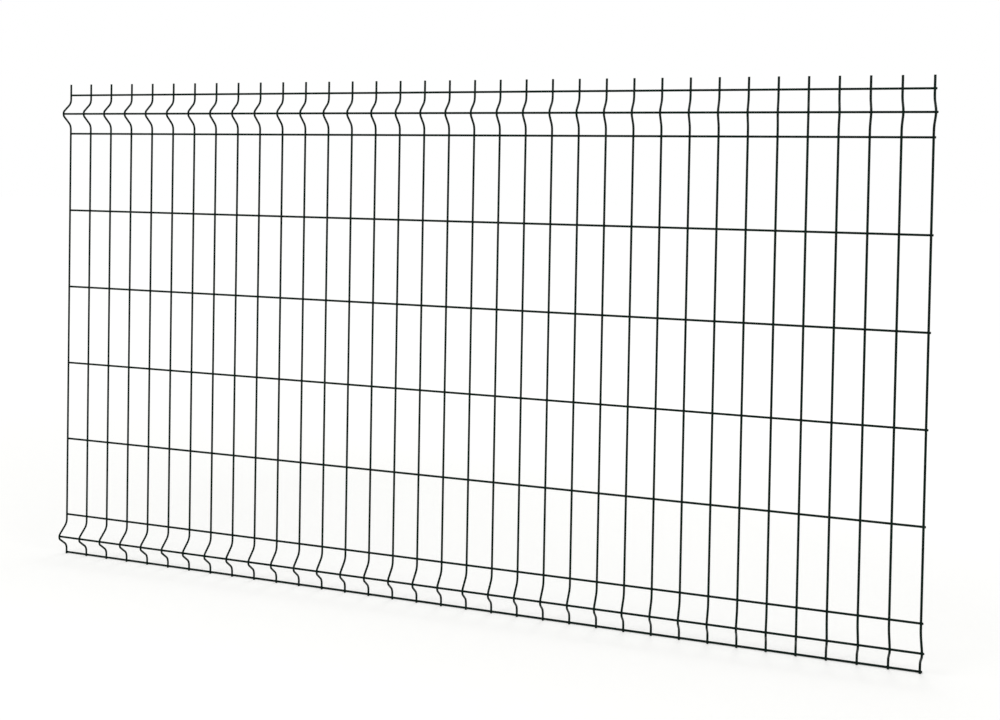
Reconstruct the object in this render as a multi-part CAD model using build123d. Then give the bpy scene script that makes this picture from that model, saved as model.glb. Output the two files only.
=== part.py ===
from build123d import *
import os
from math import atan, cos, degrees, sqrt, tan

# Welded mesh fence panel: upright wires crossed by level wires, with a V fold near each edge.
# Millimetres. X runs along the panel, Z is up, and Y points to the back, where the level wires lie.
# The origin is on the back of the lowest level wire, halfway along the panel.

# Wires
upright_size = 5.0          # thickness of an upright wire
level_size = 5.0            # thickness of a level wire
wire_sides = 8              # flats round a wire, one of them square to the back, one to the front

# Mesh
mesh_height = 1200.0        # between the middles of the lowest and the top level wire
upright_count = 35          # upright wires in the panel
upright_pitch = 60.0        # from one upright wire to the next
tall_rows = 5               # tall rows of mesh between the two folds
short_row = 50.0            # height of each of the two rows that make up a fold
level_overhang = 5.0        # level wire past the middle of the last upright wire
barb_length = 27.5          # upright wire above the middle of the top level wire
tail_length = 2.5           # upright wire below the middle of the lowest level wire, cut flush

# Folds, measured on the middle line of an upright wire
fold_depth = 35.0           # from the flat of the panel out to the crest
fold_height = 58.0          # between the corners where the two slopes would meet the flat
crest_radius = 9.5          # bend at the crest
shoulder_radius = 20.0      # bend where a slope leaves the flat
bend_turns = 3              # small turns that a bend from upright to slope is made of

# Places that follow from these sizes
fold_rise = 2 * short_row                             # mesh that one fold takes up
tall_row = (mesh_height - 2 * fold_rise) / tall_rows  # height of a tall row
fold_crests = (short_row, mesh_height - short_row)    # height of each crest
level_back = -level_size / 2                          # middle of a level wire on the flat
upright_back = -level_size - upright_size / 2         # middle of an upright wire on the flat
crest_back = upright_back - fold_depth                # middle of an upright wire at a crest
level_in_crest = crest_back + upright_size / 2 + level_size / 2
half_span = (upright_count - 1) * upright_pitch / 2   # from mid-length to the last upright wire
level_length = 2 * (half_span + level_overhang)


def wire_section(size):
    """Section of a wire, with flats to the back and the front so that crossed wires seat flat."""
    return RegularPolygon(size / 2, wire_sides, major_radius=False, rotation=180 / wire_sides)


def fold_slope():
    """Angle from an upright to a slope that runs from its corner into the bend of the crest."""
    corner = fold_height / 2
    run = sqrt(corner**2 - (2 * crest_radius - fold_depth) * fold_depth)
    return 2 * atan(fold_depth / (corner + run))


def bend(before, corner, after, radius, turns):
    """A bend as small equal turns, whose short runs touch the round bend from outside."""
    arc = FilletPolyline(before, corner, after, radius=radius).edges()[1]
    centre = arc.arc_center
    reach = 1 / cos(arc.length / radius / turns / 2)
    return [centre + (arc @ ((turn + 0.5) / turns) - centre) * reach for turn in range(turns)]


def upright_path():
    """Middle line of an upright wire, from its foot over both folds to the tip of its barb.

    A crest turns twice as far as a shoulder, so it has twice the turns, and the short run in its
    middle is upright: the level wire in the hollow seats flat on it.
    """
    rise = fold_height / 2
    peak = upright_back - rise * tan(fold_slope())
    foot = Vector(0, upright_back, -tail_length)
    points = [foot]
    for crest in fold_crests:
        below = Vector(0, upright_back, crest - fold_rise / 2)
        start = Vector(0, upright_back, crest - rise)
        tip = Vector(0, peak, crest)
        end = Vector(0, upright_back, crest + rise)
        above = Vector(0, upright_back, crest + fold_rise / 2)
        points += bend(below, start, tip, shoulder_radius, bend_turns)
        points += bend(start, tip, end, crest_radius, 2 * bend_turns)
        points += bend(tip, end, above, shoulder_radius, bend_turns)
    points.append(Vector(0, upright_back, mesh_height + barb_length))
    return Polyline(*points)


def make_upright():
    path = upright_path()
    foot = Plane(origin=path @ 0, x_dir=(1, 0, 0), z_dir=path % 0)
    return sweep(foot * wire_section(upright_size), path=path, transition=Transition.RIGHT)


def make_level(back, height):
    start = Plane(origin=(-level_length / 2, back, height), x_dir=(0, 1, 0), z_dir=(1, 0, 0))
    return extrude(start * wire_section(level_size), amount=level_length)


def level_places():
    """Name, place to the back and height of each level wire, from the lowest up."""
    flat_rows = [fold_rise + tall_row * row for row in range(tall_rows + 1)]
    places = [("bottom", level_back, 0.0), ("bottom_crest", level_in_crest, fold_crests[0])]
    for number, height in enumerate(flat_rows, start=1):
        places.append((f"{number:02d}", level_back, height))
    places.append(("top_crest", level_in_crest, fold_crests[1]))
    places.append(("top", level_back, mesh_height))
    return places


os.makedirs("parts", exist_ok=True)

upright = make_upright()
for number in range(upright_count):
    along = number * upright_pitch - half_span
    export_step(Pos(along, 0, 0) * upright, f"parts/upright_wire_{number + 1:02d}.step")

for name, back, height in level_places():
    export_step(make_level(back, height), f"parts/level_wire_{name}.step")

print("slopes lean, degrees:", round(degrees(fold_slope()), 1))
print("height over all, mm:", mesh_height + barb_length + tail_length)
print("length of an upright wire, mm:", round(upright_path().length, 1))
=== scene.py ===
import math

import bmesh
import bpy
from mathutils import Matrix, Vector


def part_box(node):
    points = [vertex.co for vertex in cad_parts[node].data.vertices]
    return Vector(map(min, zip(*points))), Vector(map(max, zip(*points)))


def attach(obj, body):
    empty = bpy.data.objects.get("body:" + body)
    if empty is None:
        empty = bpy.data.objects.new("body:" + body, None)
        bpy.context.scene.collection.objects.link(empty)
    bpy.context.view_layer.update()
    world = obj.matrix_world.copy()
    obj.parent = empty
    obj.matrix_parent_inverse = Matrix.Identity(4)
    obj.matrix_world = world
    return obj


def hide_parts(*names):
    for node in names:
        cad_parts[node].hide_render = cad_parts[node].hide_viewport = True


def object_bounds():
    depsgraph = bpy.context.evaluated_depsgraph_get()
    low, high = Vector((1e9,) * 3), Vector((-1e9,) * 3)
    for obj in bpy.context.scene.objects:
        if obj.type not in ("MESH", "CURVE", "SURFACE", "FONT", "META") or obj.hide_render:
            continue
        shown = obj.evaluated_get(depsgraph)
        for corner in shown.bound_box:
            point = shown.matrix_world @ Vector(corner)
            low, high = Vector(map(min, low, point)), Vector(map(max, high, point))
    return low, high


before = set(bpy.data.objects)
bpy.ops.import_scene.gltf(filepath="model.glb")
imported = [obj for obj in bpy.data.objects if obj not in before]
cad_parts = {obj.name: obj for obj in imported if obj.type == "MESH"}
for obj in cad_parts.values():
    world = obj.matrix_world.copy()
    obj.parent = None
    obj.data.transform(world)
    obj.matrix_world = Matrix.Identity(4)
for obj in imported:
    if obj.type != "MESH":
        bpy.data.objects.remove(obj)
cadLow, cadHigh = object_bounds()
print("frame loaded:", len(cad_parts), "wires")

mm = 0.001

# Whole panel, read from the frame
uprightNodes = sorted(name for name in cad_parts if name.startswith("upright_wire"))
levelNodes = sorted(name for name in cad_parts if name.startswith("level_wire"))


def middle(node):
    low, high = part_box(node)
    return (low + high) / 2


def thickness(node):
    low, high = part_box(node)
    return high.z - low.z if node in levelNodes else high.x - low.x


# sRGB hex to the linear colour that a shader takes
def linearColour(hexCode):
    channels = [int(hexCode[at:at + 2], 16) / 255 for at in (1, 3, 5)]
    return [c / 12.92 if c <= 0.04045 else ((c + 0.055) / 1.055) ** 2.4 for c in channels] + [1.0]


def addNode(tree, kind, settings=None, links=None):
    node = tree.nodes.new(kind)
    for key, value in (settings or {}).items():
        if key in node.inputs.keys() or isinstance(key, int):
            node.inputs[key].default_value = value
        else:
            setattr(node, key, value)
    for key, source in (links or {}).items():
        tree.links.new(source, node.inputs[key])
    return node


# Polyester powder coat on galvanised steel wire, baked to a smooth semi-gloss film.
# It reads as a very dark green, nearly black, with a soft streak of light along each wire.
powderCoat = {
    "green": "#02120C",
    "greenPale": "#061F16",     # where the film is thin
    "ior": 1.5,
    "specular": 0.06,           # the film is matted, so it mirrors much less than clear lacquer
    "roughness": 0.36,
    "roughnessSpread": 0.10,
    "peelSize": 1.6 * mm,       # orange peel, coarser and deeper than the real one, to show
    "peelDepth": 0.12 * mm,
    "peelNoise": {"Detail": 1.5, "Roughness": 0.4},
    "patchSize": 35 * mm,       # slow change of film thickness along a wire
    "patchNoise": {"Detail": 3.0, "Roughness": 0.6},
    "patchRange": (0.35, 0.75),     # of this change, from the full green to the pale one
}


def makePowderCoat():
    material = bpy.data.materials.new("powderCoatDarkGreen")
    material.use_nodes = True
    tree = material.node_tree
    tree.nodes.clear()
    place = addNode(tree, "ShaderNodeTexCoord").outputs["Object"]
    patch = addNode(tree, "ShaderNodeTexNoise",
                    {"Scale": 1 / powderCoat["patchSize"], **powderCoat["patchNoise"]},
                    {"Vector": place}).outputs["Fac"]
    peel = addNode(tree, "ShaderNodeTexNoise",
                   {"Scale": 1 / powderCoat["peelSize"], **powderCoat["peelNoise"]},
                   {"Vector": place}).outputs["Fac"]
    colour = addNode(tree, "ShaderNodeValToRGB", links={"Fac": patch})
    stops = zip(colour.color_ramp.elements, powderCoat["patchRange"], ("green", "greenPale"))
    for stop, position, tone in stops:
        stop.position = position
        stop.color = linearColour(powderCoat[tone])
    gloss = addNode(tree, "ShaderNodeMapRange",
                    {"To Min": powderCoat["roughness"] - powderCoat["roughnessSpread"] / 2,
                     "To Max": powderCoat["roughness"] + powderCoat["roughnessSpread"] / 2},
                    {"Value": patch})
    bump = addNode(tree, "ShaderNodeBump", {"Distance": powderCoat["peelDepth"], "Strength": 1.0},
                   {"Height": peel})
    shader = addNode(tree, "ShaderNodeBsdfPrincipled",
                     {"IOR": powderCoat["ior"], "Specular IOR Level": powderCoat["specular"]},
                     {"Base Color": colour.outputs["Color"], "Roughness": gloss.outputs["Result"],
                      "Normal": bump.outputs["Normal"]})
    addNode(tree, "ShaderNodeOutputMaterial", links={"Surface": shader.outputs["BSDF"]})
    return material


coat = makePowderCoat()

# Wires, as they come off the reel: round, cut square, the cut rounded over by the coat
wireShape = {
    "sides": 16,
    "cutRound": 0.7 * mm,
    "cutProfile": 0.5,          # a quarter circle
    "cutSteps": 2,
}


def finishPiece(bm, name, nodes=()):
    bmesh.ops.recalc_face_normals(bm, faces=bm.faces)
    for face in bm.faces:
        face.smooth = True
    mesh = bpy.data.meshes.new(name)
    bm.to_mesh(mesh)
    bm.free()
    mesh.materials.append(coat)
    piece = bpy.data.objects.new(name, mesh)
    bpy.context.scene.collection.objects.link(piece)
    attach(piece, "root")
    if nodes:
        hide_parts(*nodes)
    return piece


# A ring of edges at the end of the wire, ready to be drawn out
def startWire(bm, radius, place):
    bmesh.ops.create_circle(bm, segments=wireShape["sides"], radius=radius, matrix=place)
    return bm.edges[:]


# Middle of the wire at its open ring
def ringMiddle(ring):
    ends = [vert.co for edge in ring for vert in edge.verts]
    return Vector([sum(along) / len(ends) for along in zip(*ends)])


# The wire runs straight on from its open ring
def drawOut(bm, ring, step):
    grown = bmesh.ops.extrude_edge_only(bm, edges=ring)["geom"]
    verts = [item for item in grown if isinstance(item, bmesh.types.BMVert)]
    bmesh.ops.translate(bm, verts=verts, vec=step)
    return [item for item in grown if isinstance(item, bmesh.types.BMEdge)
            and item.verts[0] in verts and item.verts[1] in verts]


# The wire turns about a level line through centre
def bendOn(bm, ring, centre, angle, steps):
    verts = list(dict.fromkeys(vert for edge in ring for vert in edge.verts))
    spun = bmesh.ops.spin(bm, geom=verts + ring, cent=centre, axis=(1, 0, 0), angle=angle,
                          steps=steps, use_merge=False, use_duplicate=False)["geom_last"]
    return [item for item in spun if isinstance(item, bmesh.types.BMEdge)]


# Caps both ends of the wire and rounds the cut
def closeEnds(bm):
    openEdges = [edge for edge in bm.edges if edge.is_boundary]
    caps = bmesh.ops.holes_fill(bm, edges=openEdges, sides=0)["faces"]
    rims = [edge for cap in caps for edge in cap.edges]
    bmesh.ops.bevel(bm, geom=rims, offset=wireShape["cutRound"], segments=wireShape["cutSteps"],
                    profile=wireShape["cutProfile"], affect="EDGES", material=-1)


# Upright wires: their two V folds
uprightShape = {
    "foldHeight": 58 * mm,      # between the corners where the slopes would meet the flat
    "crestRadius": 9.5 * mm,
    "shoulderRadius": 20 * mm,
    "crestSteps": 14,
    "shoulderSteps": 7,
}


# Lean of a slope that runs from its corner on the flat into the bend of the crest
def foldSlope(depth):
    corner = uprightShape["foldHeight"] / 2
    run = math.sqrt(corner**2 - (2 * uprightShape["crestRadius"] - depth) * depth)
    return 2 * math.atan(depth / (corner + run))


def makeUprightWire(node, crests):
    low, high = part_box(node)
    radius = thickness(node) / 2
    flat = high.y - radius
    depth = flat - radius - low.y
    slope = foldSlope(depth)
    shoulder, crest = uprightShape["shoulderRadius"], uprightShape["crestRadius"]
    shoulderCut = shoulder * math.tan(slope / 2)    # corner to where the bend starts
    crestCut = crest * math.tan(slope)
    run = uprightShape["foldHeight"] / 2 / math.cos(slope) - shoulderCut - crestCut

    bm = bmesh.new()
    lean = 0.0
    ring = startWire(bm, radius, Matrix.Translation((middle(node).x, flat, low.z)))

    def straight(length):
        nonlocal ring
        heading = Vector((0, -math.sin(lean), math.cos(lean)))
        ring = drawOut(bm, ring, heading * length)

    def bend(bendRadius, angle, steps):
        nonlocal ring, lean
        side = Vector((0, -math.cos(lean), -math.sin(lean)))
        centre = ringMiddle(ring) + side * math.copysign(bendRadius, angle)
        ring = bendOn(bm, ring, centre, angle, steps)
        lean += angle

    for crestHeight in crests:
        shoulderStart = crestHeight - uprightShape["foldHeight"] / 2 - shoulderCut
        straight(shoulderStart - ringMiddle(ring).z)
        bend(shoulder, slope, uprightShape["shoulderSteps"])
        straight(run)
        bend(crest, -2 * slope, uprightShape["crestSteps"])
        straight(run)
        bend(shoulder, slope, uprightShape["shoulderSteps"])
    straight(high.z - ringMiddle(ring).z)
    closeEnds(bm)
    return finishPiece(bm, node.replace("upright_wire_", "uprightWire."), [node])


def makeLevelWire(node):
    low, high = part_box(node)
    radius = thickness(node) / 2
    start = Vector((low.x, middle(node).y, middle(node).z))
    bm = bmesh.new()
    place = Matrix.Translation(start) @ Matrix.Rotation(math.pi / 2, 4, "Y")
    ring = startWire(bm, radius, place)
    drawOut(bm, ring, Vector((high.x - low.x, 0, 0)))
    closeEnds(bm)
    return finishPiece(bm, node.replace("level_wire_", "levelWire."), [node])


crestHeights = sorted(middle(node).z for node in levelNodes if node.endswith("crest"))
for node in uprightNodes:
    makeUprightWire(node, crestHeights)
for node in levelNodes:
    makeLevelWire(node)
print("wires drawn:", len(uprightNodes), "upright and", len(levelNodes), "level")

# Spot welds: the wires are squeezed together hot, and what is squeezed out rounds the corner
# between them under the coat
weldShape = {
    "reach": 2.3 * mm,          # along both wires
    "depth": 1.25 * mm,         # to the front and the back
    "segments": 8,
    "rings": 5,
}


def makeWelds(levelNode):
    levelLow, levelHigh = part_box(levelNode)
    size = Matrix.Diagonal((weldShape["reach"], weldShape["depth"], weldShape["reach"], 1))
    bm = bmesh.new()
    for node in uprightNodes:
        spot = Vector((middle(node).x, levelLow.y, middle(levelNode).z))
        bmesh.ops.create_uvsphere(bm, u_segments=weldShape["segments"],
                                  v_segments=weldShape["rings"], radius=1.0,
                                  matrix=Matrix.Translation(spot) @ size)
    return finishPiece(bm, levelNode.replace("level_wire_", "welds."))


for node in levelNodes:
    makeWelds(node)
print("welds made:", len(levelNodes) * len(uprightNodes))

# Studio: a pale floor that keeps the shadow near the panel and is white to the camera further out
studio = {
    "floor": "#E6E6E4",
    "floorRadius": 40.0,
    "floorSides": 64,
    "backdrop": 1.0,            # white to the camera
    "ambient": 0.52,
    "glowNear": 0.33,           # added where the soft boxes light the floor
    "glowFar": 0.60,            # added where they don't reach
    "nearRadius": 1.2,
    "farRadius": 4.5,
}


# 1 for what the camera sees itself or in a gloss, 0 for light that falls on the panel
def seenDirectly(tree):
    path = addNode(tree, "ShaderNodeLightPath")
    seen = addNode(tree, "ShaderNodeMath", {"operation": "MAXIMUM"},
                   {0: path.outputs["Is Camera Ray"], 1: path.outputs["Is Glossy Ray"]})
    return addNode(tree, "ShaderNodeMath", {"operation": "MAXIMUM"},
                   {0: seen.outputs[0], 1: path.outputs["Is Transmission Ray"]}).outputs[0]


def makeStudioPaper():
    material = bpy.data.materials.new("studioPaper")
    material.use_nodes = True
    tree = material.node_tree
    tree.nodes.clear()
    place = addNode(tree, "ShaderNodeTexCoord").outputs["Object"]
    away = addNode(tree, "ShaderNodeVectorMath", {"operation": "LENGTH"}, {0: place})
    strength = addNode(tree, "ShaderNodeMapRange",
                       {"From Min": studio["nearRadius"], "From Max": studio["farRadius"],
                        "To Min": studio["glowNear"], "To Max": studio["glowFar"]},
                       {"Value": away.outputs["Value"]})
    seen = addNode(tree, "ShaderNodeMath", {"operation": "MULTIPLY"},
                   {0: strength.outputs["Result"], 1: seenDirectly(tree)})
    glow = addNode(tree, "ShaderNodeEmission", links={"Strength": seen.outputs[0]})
    matt = addNode(tree, "ShaderNodeBsdfDiffuse", {"Color": linearColour(studio["floor"])})
    both = addNode(tree, "ShaderNodeAddShader", links={0: matt.outputs[0], 1: glow.outputs[0]})
    addNode(tree, "ShaderNodeOutputMaterial", links={"Surface": both.outputs[0]})
    return material


def makeFloor():
    bm = bmesh.new()
    bmesh.ops.create_circle(bm, cap_ends=True, segments=studio["floorSides"],
                            radius=studio["floorRadius"],
                            matrix=Matrix.Translation((0, 0, cadLow.z)))
    mesh = bpy.data.meshes.new("floor")
    bm.to_mesh(mesh)
    bm.free()
    mesh.materials.append(makeStudioPaper())
    floor = bpy.data.objects.new("floor", mesh)
    bpy.context.scene.collection.objects.link(floor)


def makeWorld():
    world = bpy.data.worlds.new("studioAir")
    world.use_nodes = True
    tree = world.node_tree
    tree.nodes.clear()
    white = linearColour("#FFFFFF")
    light = addNode(tree, "ShaderNodeBackground", {"Color": white, "Strength": studio["ambient"]})
    clear = addNode(tree, "ShaderNodeBackground", {"Color": white, "Strength": studio["backdrop"]})
    pick = addNode(tree, "ShaderNodeMixShader", links={0: seenDirectly(tree),
                                                       1: light.outputs[0], 2: clear.outputs[0]})
    addNode(tree, "ShaderNodeOutputWorld", links={"Surface": pick.outputs[0]})
    bpy.context.scene.world = world


# Soft boxes: name, place, size and power in watts; each faces the middle of the panel
lamps = [
    {"name": "softBoxFront", "at": (-1.6, -3.0, 2.8), "size": 2.0, "power": 55},
    {"name": "softBoxRight", "at": (3.0, -2.2, 1.8), "size": 1.6, "power": 22},
    {"name": "softBoxBehind", "at": (0.6, 2.6, 3.0), "size": 2.0, "power": 30},
]


def makeLamp(lamp):
    light = bpy.data.lights.new(lamp["name"], "AREA")
    light.shape = "DISK"
    light.size = lamp["size"]
    light.energy = lamp["power"]
    box = bpy.data.objects.new(lamp["name"], light)
    bpy.context.scene.collection.objects.link(box)
    place = Vector(lamp["at"])
    target = (cadLow + cadHigh) / 2
    turn = (target - place).to_track_quat("-Z", "Y").to_matrix().to_4x4()
    box.matrix_world = Matrix.Translation(place) @ turn


# Camera: where the photographer stood, and the frame slid aside and down so that the panel
# fills it
view = {
    "at": (0.7718, -2.7994, 1.0117),
    "heading": 20.423,          # degrees to the left of straight on
    "tilt": -1.31,
    "roll": 0.872,
    "frameWidth": 36.0,         # millimetres, as the lens
    "lens": 44.68,
    "shift": (0.16, -0.16),
}


def makeCamera():
    camera = bpy.data.objects.new("camera", bpy.data.cameras.new("camera"))
    bpy.context.scene.collection.objects.link(camera)
    camera.data.sensor_width = view["frameWidth"]
    camera.data.lens = view["lens"]
    camera.data.shift_x, camera.data.shift_y = view["shift"]
    camera.matrix_world = (Matrix.Translation(view["at"])
                           @ Matrix.Rotation(math.radians(view["heading"]), 4, "Z")
                           @ Matrix.Rotation(math.radians(90 + view["tilt"]), 4, "X")
                           @ Matrix.Rotation(math.radians(view["roll"]), 4, "Z"))
    bpy.context.scene.camera = camera


makeFloor()
makeWorld()
for lamp in lamps:
    makeLamp(lamp)
makeCamera()
bpy.context.scene.view_settings.view_transform = "Standard"
print("studio set")
